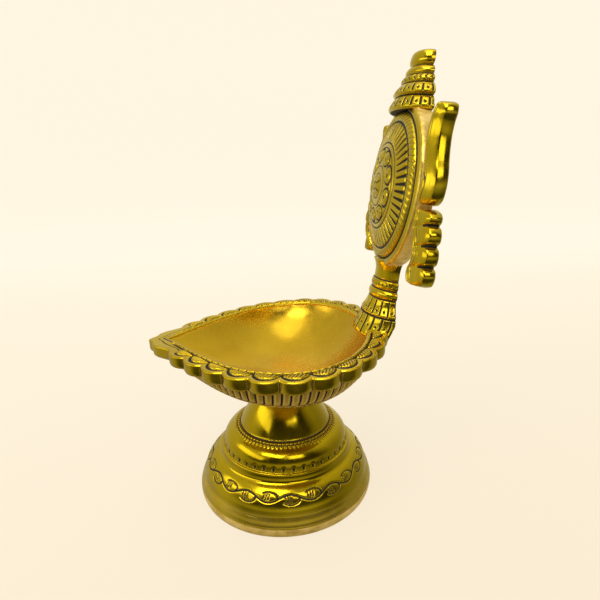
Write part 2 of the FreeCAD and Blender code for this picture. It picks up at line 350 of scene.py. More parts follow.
def make_pedestal():
    """The turned, hollow pedestal with its vine, notches and bead ring."""
    runs = [
        ([(2.0, 30.5), (7.0, 30.4), (12.0, 27.4), (16.4, 24.4), (20.4, 22.2), (22.2, 19.0)], 9),
        ([(22.2, 19.0), (23.8, 16.0), (25.8, 12.5), (29.2, 7.2), (32.2, 3.0)], 5),
        ([(32.2, 3.0), (32.5, 0.1)], 2),
        ([(32.5, 0.1), (33.0, 0.0), (34.2, 0.0)], 3),
        ([(34.2, 0.0), (34.8, 0.35), (35.0, 1.0), (35.15, 2.2), (35.1, 3.25)], 6),
        ([(35.1, 3.25), (34.95, 3.5), (34.75, 3.75)], 3),
        ([(34.75, 3.75), (34.7, 4.6), (34.3, 5.8), (33.8, 6.7), (CREASE_R, CREASE_Z)], 8),
        ([(CREASE_R, CREASE_Z), (33.2, 8.0), (32.8, 9.6), (31.8, 11.6), (30.3, 13.5), (28.6, 14.9),
          (27.2, 15.7)], 44),
        ([(27.2, 15.7), (26.6, 16.1), (26.2, 17.0), (26.0, 17.9), (26.05, 18.75)], 6),
        ([(26.05, 18.75), (25.85, 19.0), (25.1, STEP_EDGE_Z)], 3),
        ([(25.1, STEP_EDGE_Z), (24.9, 20.0), (24.75, 21.1)], 9),
        ([(24.75, 21.1), (24.35, 22.5), (23.3, 24.1), (21.9, 25.4), (20.4, 26.2)], 7),
    ]
    lower = join_runs(runs)
    ring_s = np.linspace(0, 1, 17)[1:]
    ring_r = 20.4 - 2.1 * ring_s
    ring_z = 26.2 + 0.9 * ring_s
    ring_bulge = 0.5 * np.abs(np.sin(TAU * ring_s)) ** 0.7
    upper = join_runs([
        ([(18.3, 27.1), (17.8, 28.0), (16.6, 30.4), (15.0, 33.0), (13.0, 35.8), (10.9, 38.5), (9.2, 40.4),
          (8.4, 41.4)], 14),
        ([(8.3, 41.4), (8.0, 41.95), (7.4, neck_top)], 3),
        ([(7.4, neck_top), (4.3, neck_top), (4.09, neck_top - 0.3)], 3),
        ([(4.09, neck_top - 0.3), (4.09, 32.6), (1.0, 32.4)], 3),
    ])
    profile = np.concatenate([lower, np.stack([ring_r, ring_z], 1), upper[1:]])
    normals = curve_normals(profile)
    length = np.r_[0, np.cumsum(np.sqrt((np.diff(profile, axis=0) ** 2).sum(1)))]
    theta = np.arange(PED_AROUND) / PED_AROUND * TAU
    z = profile[:, 1][:, None]
    r = profile[:, 0][:, None]
    outer = (np.arange(len(profile)) >= INNER_ROWS)[:, None]
    # engraved vine, measured up the band from the crease
    crease = np.argmin(np.hypot(profile[:, 0] - CREASE_R, profile[:, 1] - CREASE_Z))
    v = (length - length[crease])[:, None]
    pitch = TAU * 31.0 / WAVES
    in_band = outer & (v > 0.4) & (v < 9.6)
    vine = vine_field(theta[None] / TAU * pitch * WAVES, v, pitch) * in_band
    # wedge notches just above the sharp edge
    phase = (theta * NOTCHES / TAU) % 1 - 0.5
    across = phase[None] * TAU * 24.9 / NOTCHES
    rise = (z - STEP_EDGE_Z - 0.1) / 1.75
    wedge = line(across, 0.28 + 0.75 * np.clip(rise, 0, 1)) * (rise > 0.0) * (rise < 1) * outer
    wedge = wedge * np.sqrt(np.clip(4 * rise * (1 - rise), 0, 1)) * (r < 25.4)
    # two rows of beads, half a bead out of step
    first = len(lower)
    bulge = np.zeros((len(profile), 1))
    bulge[first:first + len(ring_s), 0] = ring_bulge
    row_shift = np.zeros((len(profile), 1))
    row_shift[first + 8:first + len(ring_s), 0] = 0.5
    bead = np.abs(np.sin(math.pi * (theta[None] * BEADS / TAU + row_shift))) ** 0.6
    in_ring = bulge > 0
    beads = bulge * bead
    ring_top = (np.abs(z - 26.9) < 0.12) & (r < 18.6)
    gap = np.where(in_ring | ring_top, 1 - bead * np.clip(bulge / 0.3, 0, 1), 0) * (r > 17.5)
    push = -0.26 * vine - 0.5 * wedge + beads - 0.12 * in_ring
    rr = r + push * normals[:, 0][:, None]
    zz = z + push * normals[:, 1][:, None]
    x, y = rr * np.cos(theta), rr * np.sin(theta)
    uneven = hand_finish(x, y, zz, 0.03) * outer * (z < 40) * (z > 0.5)
    x, y = x + uneven * np.cos(theta), y + uneven * np.sin(theta)
    # painted shade: dark lines along the sharp step, under the rim's lip and in the creases at both ends of
    # the vine band
    step_edge_shade = line(z - STEP_EDGE_Z, 0.22) * (r < 25.9) * (r > 24.8) * 0.2
    under_lip_shade = line(z - 3.45, 0.22) * (r > 34) * 0.25
    band_foot_shade = line(v, 0.22) * 0.1
    band_top_shade = line(r - 27.1, 0.25) * (np.abs(z - 15.7) < 0.5) * 0.15
    crease_shade_lines = np.maximum(step_edge_shade + under_lip_shade, (band_foot_shade + band_top_shade) * outer)
    patina_and_shade = np.maximum(np.maximum(vine, wedge * 1.1), np.maximum(gap, crease_shade_lines))
    inside = ~outer
    cast = np.where(inside | (z < 3.4), 0.75, 0.0) + 0.2 * step(8.6, 6.6, z) * outer
    # the hollow inside is darkened a little all over
    patina_and_shade = np.where(inside, 0.18, patina_and_shade)
    rows = np.stack([x, y, np.broadcast_to(zz, x.shape)], -1)
    fields = {"patina_and_shade": np.clip(patina_and_shade, 0, 1), "cast": np.clip(cast, 0, 1)}
    return grid_piece("pedestal_turned", rows, fields, pedestal_mat, "pedestal",
                      "pedestal")


# ---------------------------------------------------------------- bowl

SCALLOPS = 24
# length of plain edge beside the tip, rise of the tip above the rim's plane, and bulge of a scallop
TIP_PLAIN = 16.2
TIP_LIFT = 3.4
SCALLOP_RISE = 1.9


def leaf(width, front, back, tip, centre, a):
    """Leaf outline: angle 0 is the spout's tip, pi the back. Works on arrays."""
    b = np.where(a <= math.pi, a, TAU - a)
    side = np.where(a <= math.pi, 1.0, -1.0)
    u = np.clip(np.cos(b), 0, 1)
    ahead = width * (1 - u**2.2) ** 1.24 + tip * u**4 * np.sqrt(1 - u**30)
    x = side * np.where(b <= math.pi / 2, ahead, width * np.sin(b))
    y = centre - np.where(b <= math.pi / 2, front, back) * np.cos(b)
    return x, y


def rim_height(y):
    """Height of the rim plane, which curls up a little towards the spout's tip."""
    ahead = np.clip((widest_y - y) / edge_front, 0, 1)
    return rim_z + rim_slope * y + TIP_LIFT * ahead**1.3


def even_angles(count):
    """Angles whose points lie evenly along the bowl's outer edge, and their distance from the tip."""
    a = np.linspace(0, TAU, 12001)
    x, y = leaf(edge_width, edge_front, edge_back, 1.6, widest_y, a)
    s = np.r_[0, np.cumsum(np.hypot(np.diff(x), np.diff(y)))]
    even = np.arange(count) / count * s[-1]
    return np.interp(even, s, a), even, s[-1]


def section_rows(sections, count, angles):
    """Rows of leaf outlines that pass smoothly through the sections.

    A section is (width, front, back, tip, z, slope, centre).
    """
    values = smooth_run(sections, count)
    rows = []
    for width, front, back, tip, z, slope, centre in values:
        x, y = leaf(width, front, back, tip, centre, angles)
        lift = TIP_LIFT * np.clip((centre - y) / edge_front, 0, 1) ** 1.3
        rows.append(np.stack([x, y, z + slope * y + lift], -1))
    return np.array(rows)


def outward(rows):
    """Horizontal outward normals of closed outlines."""
    d = np.roll(rows, -1, axis=-2) - np.roll(rows, 1, axis=-2)
    n = np.stack([d[..., 1], -d[..., 0]], -1)
    n = n / np.maximum(np.sqrt((n**2).sum(-1)), 1e-9)[..., None]
    flip = np.sign((n[..., 0] * rows[..., 0]).sum(-1))[..., None, None]
    return n * flip


def make_border():
    """The raised rim: bead edge, groove, petals, plain scalloped band and outer wall."""
    around = 1500
    angles, s, total = even_angles(around)
    pitch = (total - 2 * TIP_PLAIN) / SCALLOPS
    in_zone = (s > TIP_PLAIN) & (s < total - TIP_PLAIN)
    k = (s - TIP_PLAIN) / pitch
    local = k - np.floor(k) - 0.5
    toward_tip = np.where(s < total / 2, 1.0, -1.0)
    fade = step(TIP_PLAIN, TIP_PLAIN + 5, s) * step(TIP_PLAIN, TIP_PLAIN + 5, total - s)
    ex, ey = leaf(edge_width - SCALLOP_RISE, edge_front, edge_back - SCALLOP_RISE, 1.6, widest_y, angles)
    edge = np.stack([ex, ey], -1)
    n = outward(edge)
    from_tip = np.minimum(s, total - s)
    rise = SCALLOP_RISE * (1 - (2 * np.abs(local)) ** 2.2) * in_zone
    plain_rise = step(3, 7, from_tip) * step(TIP_PLAIN, TIP_PLAIN - 8, from_tip)
    rise = rise + 0.75 * SCALLOP_RISE * plain_rise * ~in_zone
    edge = edge + n * rise[:, None]
    bx, by = leaf(38.0, 49.2, 27.5, 0.5, widest_y, angles)
    bead_line = np.stack([bx, by], -1)
    width = np.sqrt(((edge - bead_line) ** 2).sum(-1))
    # across the top, from the hollow's edge outwards, in millimetres
    top_t = np.r_[np.linspace(-0.10, 0.20, 15), np.linspace(0.215, 0.86, 26), np.linspace(0.88, 0.985, 6)]
    rows, patina_and_shade = [], []
    bead = np.abs(np.sin(math.pi * s / (pitch / 3))) ** 0.55
    bead = bead * step(2.0, 10.0, np.minimum(s, total - s))
    lean_local = local * toward_tip
    for t in top_t:
        d = t * width
        xy = bead_line + (edge - bead_line) * t
        ridge = np.exp(-((d - 0.45) / 0.42) ** 2)
        z = 0.55 * ridge * (0.25 + 0.75 * bead)
        dark = (1 - bead) * step(0.1, 0.5, d) * (d < 1.0) * 0.95
        groove = line(d - 1.18, 0.52) * step(7.0, 11.0, from_tip)
        z = z - 0.5 * groove
        dark = np.maximum(dark, groove)
        # petal: a curved shield in each scallop, between the groove and its own outline
        reach = 1.35 + (0.72 * width - 1.35) * np.sqrt(np.clip(1 - (2.06 * local) ** 2, 0, 1))
        inside = (reach - d) * (d > 1.25) * in_zone
        petal = step(0.0, 0.9, inside) * fade
        crown = np.clip(1 - (2.1 * local) ** 2, 0, 1)
        z = z + 0.55 * petal * crown
        stroke = np.abs(np.sin(math.pi * (lean_local * pitch + 0.6 * d) / 1.3)) ** 4
        outer_end = step(0.7, 0.9, d / np.maximum(reach, 1e-3))
        hatch = petal * step(0.25, 0.9, inside) * stroke * (1 - 0.75 * outer_end)
        z = z - 0.28 * hatch
        dark = np.maximum(dark, 0.95 * hatch)
        rim_line = line(reach - d, 0.56 + 0.40 * step(-0.1, 0.4, -lean_local)) * in_zone * fade * (d > 1.1)
        dark = np.maximum(dark, rim_line)
        z = z - 0.42 * rim_line
        tip_line = line(d - 0.42 * width, 0.34) * (1 - fade) * (width > 1.6)
        dark = np.maximum(dark, tip_line)
        z = z - 0.25 * tip_line
        z = z - 0.30 * step(-0.55, 0.0, d - width) ** 2
        rows.append(np.concatenate([xy, (rim_height(xy[:, 1]) + z)[:, None]], 1))
        patina_and_shade.append(dark)
    # outer wall and underside: inset, drop and painted shade of each row, darkest on the wall's foot and the
    # ledge under the rim
    wall = [(0.0, -0.30, 0.0), (0.0, -0.6, 0.0), (0.02, -1.4, 0.0), (0.05, -2.6, 0.0), (0.12, -3.7, 0.05),
            (0.4, -4.3, 0.2), (1.0, -4.4, 0.7), (2.2, -4.3, 1.0), (3.6, -3.9, 1.0)]
    cusp = step(0.445, 0.49, np.abs(local)) * in_zone * fade
    for inset, drop, base in wall:
        xy = edge - n * inset
        rows.append(np.concatenate([xy, (rim_height(xy[:, 1]) + drop)[:, None]], 1))
        patina_and_shade.append(np.maximum(base, 0.85 * cusp * (drop < -0.5)))
    for t, drop in ((0.35, -2.2), (0.0, -2.0), (-0.10, -1.2)):
        xy = bead_line + (edge - bead_line) * t
        rows.append(np.concatenate([xy, (rim_height(xy[:, 1]) + drop)[:, None]], 1))
        patina_and_shade.append(np.zeros(around))
    rows = np.array(rows)
    cast = np.zeros(rows.shape[:2])
    cast[len(top_t) + 6:] = 0.25
    fields = {"patina_and_shade": np.clip(np.array(patina_and_shade), 0, 1), "cast": cast}
    return grid_piece("bowl_petal_border", rows, fields, border_mat, "bowl", closed_rows=True)


def make_shell():
    """The bowl's hollow, fluted underside and base."""
    around = 1000
    angles, s, total = even_angles(around)
    pitch = (total - 2 * TIP_PLAIN) / SCALLOPS
    hollow = section_rows([
        (2.0, 2.0, 2.0, 0.5, 47.95, 0.0, 0.0),
        (8.0, 8.0, 8.0, 2.0, 48.1, 0.0, 0.0),
        (17.0, 18.0, 14.5, 3.0, 49.3, 0.0, 0.5),
        (25.0, 26.5, 19.6, 2.6, 52.0, rim_slope * 0.4, 2.2),
        (31.2, 34.5, 23.4, 1.8, 55.8, rim_slope * 0.75, 3.6),
        (35.6, 42.2, 26.0, 1.0, 60.0, rim_slope, 4.6),
        (38.0, 49.2, 27.5, 0.5, rim_z - 0.15, rim_slope, widest_y),
    ], 34, angles)
    wall_z = rim_z - rim_wall
    hidden = section_rows([
        (38.4, 49.6, 27.9, 0.6, rim_z - 1.0, rim_slope, widest_y),
        (41.0, 51.0, 29.0, 1.6, wall_z + 0.6, rim_slope, widest_y),
    ], 3, angles)
    flutes = section_rows([
        (41.0, 51.0, 29.0, 1.6, wall_z - 0.1, rim_slope, widest_y),
        (40.6, 49.6, 28.4, 1.7, wall_z - 2.0, rim_slope * 0.95, 4.8),
        (39.8, 47.6, 27.4, 1.8, wall_z - 4.6, rim_slope * 0.85, 4.4),
        (38.2, 45.0, 26.0, 2.0, wall_z - 6.8, rim_slope * 0.75, 3.8),
    ], 26, angles)
    lower = section_rows([
        (38.2, 45.0, 26.0, 2.0, wall_z - 6.8, rim_slope * 0.75, 3.8),
        (35.0, 40.0, 24.8, 2.6, wall_z - 9.0, rim_slope * 0.55, 3.2),
        (29.5, 32.5, 22.6, 3.2, wall_z - 11.7, rim_slope * 0.3, 2.0),
        (19.9, 20.9, 18.6, 4.0, neck_top + 2.6, 0.0, 0.6),
        (12.0, 12.2, 11.8, 4.0, neck_top + 0.7, 0.0, 0.0),
        (9.6, 9.6, 9.6, 3.5, neck_top + 0.12, 0.0, 0.0),
    ], 18, angles)
    base = section_rows([
        (9.6, 9.6, 9.6, 3.5, neck_top + 0.1, 0.0, 0.0),
        (6.0, 6.0, 6.0, 0.0, neck_top + 0.1, 0.0, 0.0),
        (4.1, 4.1, 4.1, 0.0, neck_top + 0.1, 0.0, 0.0),
    ], 4, angles)
    socket = section_rows([
        (4.09, 4.09, 4.09, 0.0, neck_top + 0.4, 0.0, 0.0),
        (4.09, 4.09, 4.09, 0.0, neck_top + 4.2, 0.0, 0.0),
    ], 2, angles)
    v = np.linspace(0, 1, len(flutes))[:, None]
    lobe = np.abs(np.sin(math.pi * (s - TIP_PLAIN) / (pitch / 3)))[None]
    zone = step(0.0, 0.12, v) * (1 - step(0.80, 0.92, v))
    valley = (1 - lobe**0.6) * zone
    flutes = flutes.copy()
    flutes[..., :2] += outward(flutes) * (0.35 * zone * lobe - 0.75 * valley)[..., None]
    flutes[..., 2] -= 0.25 * line(v - 0.93, 0.09) * np.ones_like(lobe)
    # painted shade in the flutes' valleys and in a band just under the rim's overhang; dark_low is a dark
    # line near the flutes' lower end
    dark_low = line(v - 0.86, 0.06) * 0.6
    under_rim_shade = step(0.12, 0.0, v)
    flute_darkening = np.maximum(step(0.25, 0.6, valley), np.maximum(under_rim_shade, dark_low))
    rows = np.concatenate([hollow, hidden, flutes, lower[1:], base[1:], socket])
    patina_and_shade = np.zeros(rows.shape[:2])
    start = len(hollow) + len(hidden)
    patina_and_shade[start:start + len(flutes)] = flute_darkening
    cast = np.zeros(rows.shape[:2])
    cast[start:start + len(flutes)] = 0.35
    cast[start + len(flutes):] = 0.25
    fields = {"patina_and_shade": patina_and_shade, "cast": cast}
    return grid_piece("bowl_shell", rows, fields, bowl_mat, "bowl", "bowl")


# ---------------------------------------------------------------- back plate


def on_plate(x, y, h):
    """From the plate's own frame (flat back at y 0, front negative, h up its back) to the lamp's frame."""
    c, sn = math.cos(plate_lean), math.sin(plate_lean)
    x, y, h = np.broadcast_arrays(x, y, h)
    return np.stack([x, plate_y + y * c + h * sn, rim_z - y * sn + h * c], -1)


SLOTS = 50
ROPE = 72


def make_disc():
    """The wheel: flower, spokes, rope ring, as-cast edge and flat back."""
    around = 1000
    radii = np.r_[np.linspace(0.15, 7.4, 18), np.linspace(7.7, 13.2, 20), np.linspace(13.4, 15.4, 9),
                  np.linspace(15.6, 21.9, 14), np.linspace(22.1, 25.3, 14), np.linspace(25.45, 26.3, 5),
                  np.linspace(26.6, 27.9, 5)]
    theta = np.arange(around) / around * TAU
    r = radii[:, None]
    t = theta[None]
    depth = disc_depth + disc_dome * (1 - (r / disc_r) ** 2) + np.zeros_like(t)
    dark = np.zeros((len(radii), around))

    def cut(mask, deep):
        nonlocal depth, dark
        depth = depth - deep * mask
        dark = np.maximum(dark, mask)

    # ring grooves: radius, half width and depth
    rings = ((25.75, 0.62, 0.5), (22.15, 0.52, 0.42), (15.0, 0.46, 0.4), (13.3, 0.42, 0.35),
             (7.0, 0.42, 0.35), (4.4, 0.40, 0.3))
    for ring_r, half, deep in rings:
        cut(line(r - ring_r, half) * np.ones_like(t), deep)
    rope_zone = (r > 22.5) & (r < 25.35)
    twist = np.abs(np.sin(math.pi * (t * ROPE / TAU + (r - 24.0) * 0.28))) ** 0.7
    hump = np.sqrt(np.clip(1 - ((r - 23.95) / 1.35) ** 2, 0, 1))
    depth = depth + 0.42 * hump * (0.35 + 0.65 * twist) * rope_zone
    dark = np.maximum(dark, rope_zone * (1 - twist) ** 1.5 * 0.85 * (hump > 0.2))
    # tapered slots with a rounded outer end
    phase = (t * SLOTS / TAU) % 1 - 0.5
    along = (r - 15.4) / (21.8 - 15.4)
    slot_half = 0.32 + 0.62 * np.clip(along, 0, 1)
    slot = line(phase * TAU / SLOTS * r, slot_half) * step(0.0, 0.10, along) * (1 - step(0.90, 1.0, along))
    cut(slot, 0.55)
    # flower petals, each with a dot
    petals = 9
    turn = (t * petals / TAU) % 1 - 0.5
    centre_r = 10.5
    px = turn * TAU / petals * centre_r
    py = r - centre_r
    wide = 3.35 * (0.92 + 0.1 * py / 2.4)
    edge_d = (np.hypot(px / wide, py / 2.45) - 1) * 2.6
    petal_zone = (r > 7.9) & (r < 13.3)
    depth = depth + 0.35 * step(0.1, 1.2, -edge_d) * petal_zone
    cut(line(edge_d, 0.50) * petal_zone, 0.3)
    cut(line(np.hypot(px, py + 0.1), 0.9) * petal_zone, 0.4)
    # centre boss: small rosette
    inner = (t * 6 / TAU) % 1 - 0.5
    depth = depth + 0.55 * step(4.2, 2.0, r)
    cut(line(inner * TAU / 6 * np.maximum(r, 1.2), 0.4) * (r > 1.5) * (r < 3.9), 0.25)
    cut(line(r - 1.3, 0.42) * np.ones_like(t), 0.25)
    x = r * np.cos(t)
    h = disc_h + r * np.sin(t)
    front = on_plate(x, -depth, h)
    side = []
    edge = ((28.25, -5.25), (28.45, -4.8), (28.5, -4.2), (28.5, -3.2), (28.5, -1.8), (28.5, -0.5),
            (28.2, -0.05))
    for edge_r, y in edge:
        wobble = 0.06 * np.sin(23 * theta + y) + 0.05 * np.sin(61 * theta + 2 * y)
        rr = edge_r + wobble - 0.1
        side.append(on_plate(rr * np.cos(theta), y, disc_h + rr * np.sin(theta)))
    back = []
    for back_r in (27.6, 20.0, 10.0, 2.0):
        back.append(on_plate(back_r * np.cos(theta), 0.0, disc_h + back_r * np.sin(theta)))
    rows = np.concatenate([front, side, back])
    patina_and_shade = np.zeros(rows.shape[:2])
    patina_and_shade[:len(radii)] = np.clip(dark, 0, 1)
    cast = np.zeros(rows.shape[:2])
    cast[len(radii) - 2:] = 0.35
    cast[len(radii) + 1:] = 1.0
    cast[len(radii) + len(side):] = 0.4
    fields = {"patina_and_shade": patina_and_shade, "cast": cast}
    return grid_piece("wheel_medallion", rows, fields, plate_mat, "bowl", "chakra_disc")


def d_section(profile, ratio, front_cols, back_cols, push, lean_back=None):
    """Flat-backed turned form: profile rows of (half width, height), push displaces the front outwards."""
    phi = np.linspace(0, math.pi, front_cols)
    a = profile[:, 0][:, None]
    h = profile[:, 1][:, None]
    a2 = a + push
    x = a2 * np.cos(phi)
    y = -(a2 * ratio) * np.sin(phi)
    back_x = np.linspace(-1, 1, back_cols + 2)[1:-1] * a
    x = np.concatenate([x, back_x], 1)
    y = np.concatenate([y, np.zeros_like(back_x)], 1)
    h = np.broadcast_to(h, x.shape)
    if lean_back is not None:
        y = y + lean_back(h) * (1 + y / 14.0)
    return x, y, h


def pad_back(values, back_cols):
    """Adds blank columns for the flat back."""
    return np.concatenate([values, np.zeros((len(values), back_cols))], 1)


def skirt_marks(h, arc, low, high, lines, dot_h):
    """Upright grooves with a dot in each panel, on a skirt between two heights."""
    zone = step(low + 0.1, low + 0.5, h) * (1 - step(high - 0.45, high - 0.1, h))
    phase = (arc * lines) % 1 - 0.5
    groove = line(phase * 2.2 * 14 / lines, 0.46) * zone
    mid = ((arc * lines + 0.5) % 1 - 0.5) * 2.2 * 14 / lines
    dot = line(np.hypot(mid, h - dot_h), 0.62)
    return np.maximum(groove, dot)


def make_stem():
    """The plate's neck: two pleated skirts, two rings and a plain waist."""
    front, back_cols = 300, 30
    runs = [
        ([(2.0, -1.3), (13.6, -1.3)], 5),
        ([(13.6, -1.3), (14.4, -0.9), (14.5, -0.2), (13.7, 2.6), (12.7, 5.4), (12.35, 6.5)], 22),
        ([(12.35, 6.5), (11.6, 6.8), (12.0, 7.0)], 4),
        ([(12.0, 7.0), (12.15, 7.4), (11.3, 8.9), (10.2, 10.9), (9.6, 12.7)], 22),
        ([(9.6, 12.7), (8.95, 13.1), (9.3, 13.3)], 4),
        ([(9.3, 13.3), (9.75, 14.1), (9.7, 15.4), (9.2, 16.2)], 10),
        ([(9.2, 16.2), (8.5, 16.6), (8.8, 16.9)], 4),
        ([(8.8, 16.9), (9.1, 17.6), (9.0, 19.2), (8.7, 19.9)], 12),
        ([(8.7, 19.9), (8.0, 20.25), (8.2, 20.6)], 4),
        ([(8.2, 20.6), (8.15, 22.0), (8.25, 24.0), (9.0, 26.2), (9.6, 27.2)], 12),
        ([(9.6, 27.2), (3.0, 27.3)], 3),
    ]
    profile = join_runs(runs)
    arc = np.linspace(0, 1, front)[None]
    h = profile[:, 1][:, None]
    lower = skirt_marks(h, arc, -0.9, 6.6, 10, 3.2)
    upper = skirt_marks(h, arc + 0.05, 7.2, 12.9, 10, 8.9)
    ring_dots = line(np.hypot(((arc * 14) % 1 - 0.5) * 1.9, h - 18.4), 0.55)
    marks = np.maximum.reduce([lower, upper, ring_dots])
    # painted shade: dark lines in the notches under each skirt and ring, colour only
    notch_shade = np.zeros_like(h)
    for height in (6.75, 13.1, 16.6, 20.25):
        notch_shade = np.maximum(notch_shade, line(h - height, 0.44))
    marks = np.maximum(marks, np.broadcast_to(notch_shade, marks.shape))
    push = -0.35 * np.clip(marks - notch_shade, 0, 1)
    turn_in = lambda height: -2.6 * step(5.5, -1.3, height)
    x, y, hh = d_section(profile, 0.82, front, back_cols, push, turn_in)
    rows = on_plate(x, y, hh)
    cast = np.zeros_like(x)
    cast[:, front:] = 0.4
    fields = {"patina_and_shade": pad_back(marks, back_cols), "cast": cast}
    return grid_piece("stem_skirts", rows, fields, plate_mat, "bowl", "stem")


def make_crown():
    """Four tiers and a rounded knob above the wheel."""
    front, back_cols = 300, 30
    runs = [
        ([(2.0, 78.7), (12.6, 78.7)], 4),
        ([(12.6, 78.7), (13.9, 79.2), (14.15, 79.8), (13.5, 81.2), (12.6, 82.5), (12.1, 83.1)], 18),
        ([(12.1, 83.1), (11.3, 83.35), (12.2, 83.7)], 4),
        ([(12.2, 83.7), (12.9, 84.4), (12.3, 85.6), (11.0, 86.9), (10.4, 87.4)], 18),
        ([(10.4, 87.4), (9.3, 87.7), (9.9, 88.0)], 4),
        ([(9.9, 88.0), (10.25, 88.6), (9.9, 89.5), (9.2, 90.1)], 14),
        ([(9.2, 90.1), (8.2, 90.4), (8.5, 90.7)], 4),
        ([(8.5, 90.7), (8.8, 91.3), (8.4, 92.4), (7.5, 93.1)], 10),
        ([(7.5, 93.1), (6.3, 93.4), (6.6, 93.7)], 4),
        ([(6.8, 93.7), (7.5, 94.6), (7.45, 96.3), (6.9, 97.6), (5.7, 98.25), (3.0, 98.45),
          (0.4, 98.47)], 18),
    ]
    profile = join_runs(runs)
    arc = np.linspace(0, 1, front)[None]
    h = profile[:, 1][:, None]
    low = skirt_marks(h, arc, 79.5, 83.1, 11, 81.1)
    high = skirt_marks(h, arc + 0.03, 84.1, 87.4, 9, 85.5)
    chevron_phase = (arc * 12 + 0.42 * np.abs(h - 89.2)) % 1 - 0.5
    chevron = line(chevron_phase * 2.0, 0.42) * (h > 88.2) * (h < 90.0) * 0.8
    marks = np.maximum.reduce([low, high, chevron])
    # painted shade: dark lines in the notches under each tier, and the crown's underside painted dark
    notch_shade = np.zeros_like(h)
    for height in (83.35, 87.7, 90.4, 93.4):
        notch_shade = np.maximum(notch_shade, line(h - height, 0.42))
    under_shade = step(79.0, 78.75, h) * (profile[:, 0][:, None] < 13.4)
    notch_shade = np.maximum(notch_shade, under_shade)
    marks = np.maximum(marks, np.broadcast_to(notch_shade, marks.shape))
    push = -0.32 * np.clip(marks - notch_shade, 0, 1)
    x, y, hh = d_section(profile, 0.74, front, back_cols, push)
    rows = on_plate(x, y, hh)
    cast = np.zeros_like(x)
    cast[:, front:] = 0.4
    fields = {"patina_and_shade": pad_back(marks, back_cols), "cast": cast}
    return grid_piece("crown_tiers", rows, fields, plate_mat, "bowl", "crown_finial")


FACE_COLS = 44
# the left pair of castings is a little thinner towards its upper end
LEFT_THINNING = 1.5


def side_form(inner, outer, side, relief, count):
    """Flat-backed curl between an inner and an outer edge, with relief on its front face."""
    inner_pts = smooth_run(inner, count)
    outer_pts = smooth_run(outer, count)
    wall_cols, back_cols = 9, 8
    u = np.linspace(0, 1, FACE_COLS)[None]
    v = np.linspace(0, 1, count)[:, None]
    raised, dark = relief(u, v)
    cap = np.sqrt(np.clip(1 - (2 * v - 1) ** 12, 0, 1))
    edge_round = 1.5 * np.clip((u - 0.5) / 0.5, 0, 1) ** 3 + 0.9 * np.clip((0.12 - u) / 0.12, 0, 1) ** 2
    depth = (side_depth + 0.1 + raised - edge_round) * (0.55 + 0.45 * cap)
    if side < 0:
        depth = depth - LEFT_THINNING * step(0.35, 0.8, v)
    face = inner_pts[:, None] * (1 - u)[..., None] + outer_pts[:, None] * u[..., None]
    w = np.linspace(0, 1, wall_cols + 2)[1:-1][None]
    bulge = 0.35 * np.sin(math.pi * w)
    away = outer_pts - inner_pts
    away = away / np.maximum(np.sqrt((away**2).sum(1)), 1e-6)[:, None]
    wall = outer_pts[:, None] + away[:, None] * bulge[..., None]
    wall_y = -depth[:, -1:] * (1 - w)
    b = np.linspace(1, 0, back_cols)[None]
    back = inner_pts[:, None] * (1 - b)[..., None] + outer_pts[:, None] * b[..., None]
    inner_wall = np.repeat(inner_pts[:, None], 4, axis=1)
    inner_y = -depth[:, :1] * np.array([0.2, 0.4, 0.6, 0.8])[None]
    xz = np.concatenate([face, wall, back, inner_wall], 1)
    y = np.concatenate([-depth, wall_y, np.zeros((count, back_cols)), inner_y], 1)
    rows = on_plate(side * xz[..., 0], y, xz[..., 1])
    patina_and_shade = np.zeros(y.shape)
    patina_and_shade[:, :FACE_COLS] = dark
    cast = np.zeros(y.shape)
    cast[:, FACE_COLS + wall_cols:] = 0.4
    return rows, patina_and_shade, cast


def flame_relief(u, v):
    """Relief of a flame's front face across (u) and along it (v), with its dark lines."""
    ridge_outer = 0.5 * np.exp(-((u - 0.62) / 0.10) ** 2)
    ridge_inner = 0.4 * np.exp(-((u - 0.38) / 0.09) ** 2)
    valley = line(u - 0.50, 0.05) * step(0.02, 0.12, v) * (1 - step(0.88, 0.98, v))
    valley = np.maximum(valley, line(u - 0.26, 0.05) * step(0.3, 0.4, v) * (1 - step(0.8, 0.95, v)))
    bulb = np.exp(-((u - 0.27) / 0.20) ** 2 - ((v - 0.17) / 0.13) ** 2)
    hollow = np.exp(-((u - 0.27) / 0.08) ** 2 - ((v - 0.18) / 0.055) ** 2)
    rim = line(np.hypot((u - 0.27) / 0.24, (v - 0.17) / 0.15) - 1, 0.16)
    raised = ridge_outer + ridge_inner - 0.35 * valley + 0.5 * bulb - 0.7 * hollow - 0.3 * rim
    return raised, np.clip(np.maximum.reduce([valley, rim * 0.9, step(0.4, 0.9, hollow) * 0.9]), 0, 1)


def make_flame(name, side, node):
    """Curl beside the wheel's upper half."""
    outer = [(30.2, 49.4), (32.4, 49.8), (34.9, 51.4), (35.9, 54.6), (35.5, 59.1), (34.2, 62.8),
             (33.2, 66.9), (32.9, 70.1), (33.4, 73.2), (34.2, 75.3), (33.7, 77.3), (31.4, 78.4)]
    inner = [(29.4, 49.6), (28.6, 50.8), (28.0, 52.8), (28.2, 55.6), (28.0, 59.2), (26.9, 62.8),
             (25.9, 66.4), (25.4, 69.6), (25.7, 72.8), (26.9, 75.4), (28.7, 77.5), (30.2, 78.4)]
    rows, patina_and_shade, cast = side_form(inner, outer, side, flame_relief, 110)
    return grid_piece(name, rows, {"patina_and_shade": patina_and_shade, "cast": cast}, plate_mat, "bowl", node)


def ribbon_relief(u, v):
    """Three ridges along a ribbon, with dark valleys between them."""
    raised = np.zeros(np.broadcast(u, v).shape)
    dark = np.zeros_like(raised)
    for place, height in ((0.55, 0.45), (0.34, 0.45), (0.13, 0.3)):
        raised = raised + height * np.exp(-((u - place) / 0.085) ** 2)
    for place in (0.445, 0.235):
        valley = line(u - place, 0.06) * np.ones_like(v)
        raised = raised - 0.35 * valley
        dark = np.maximum(dark, valley)
    return raised, dark


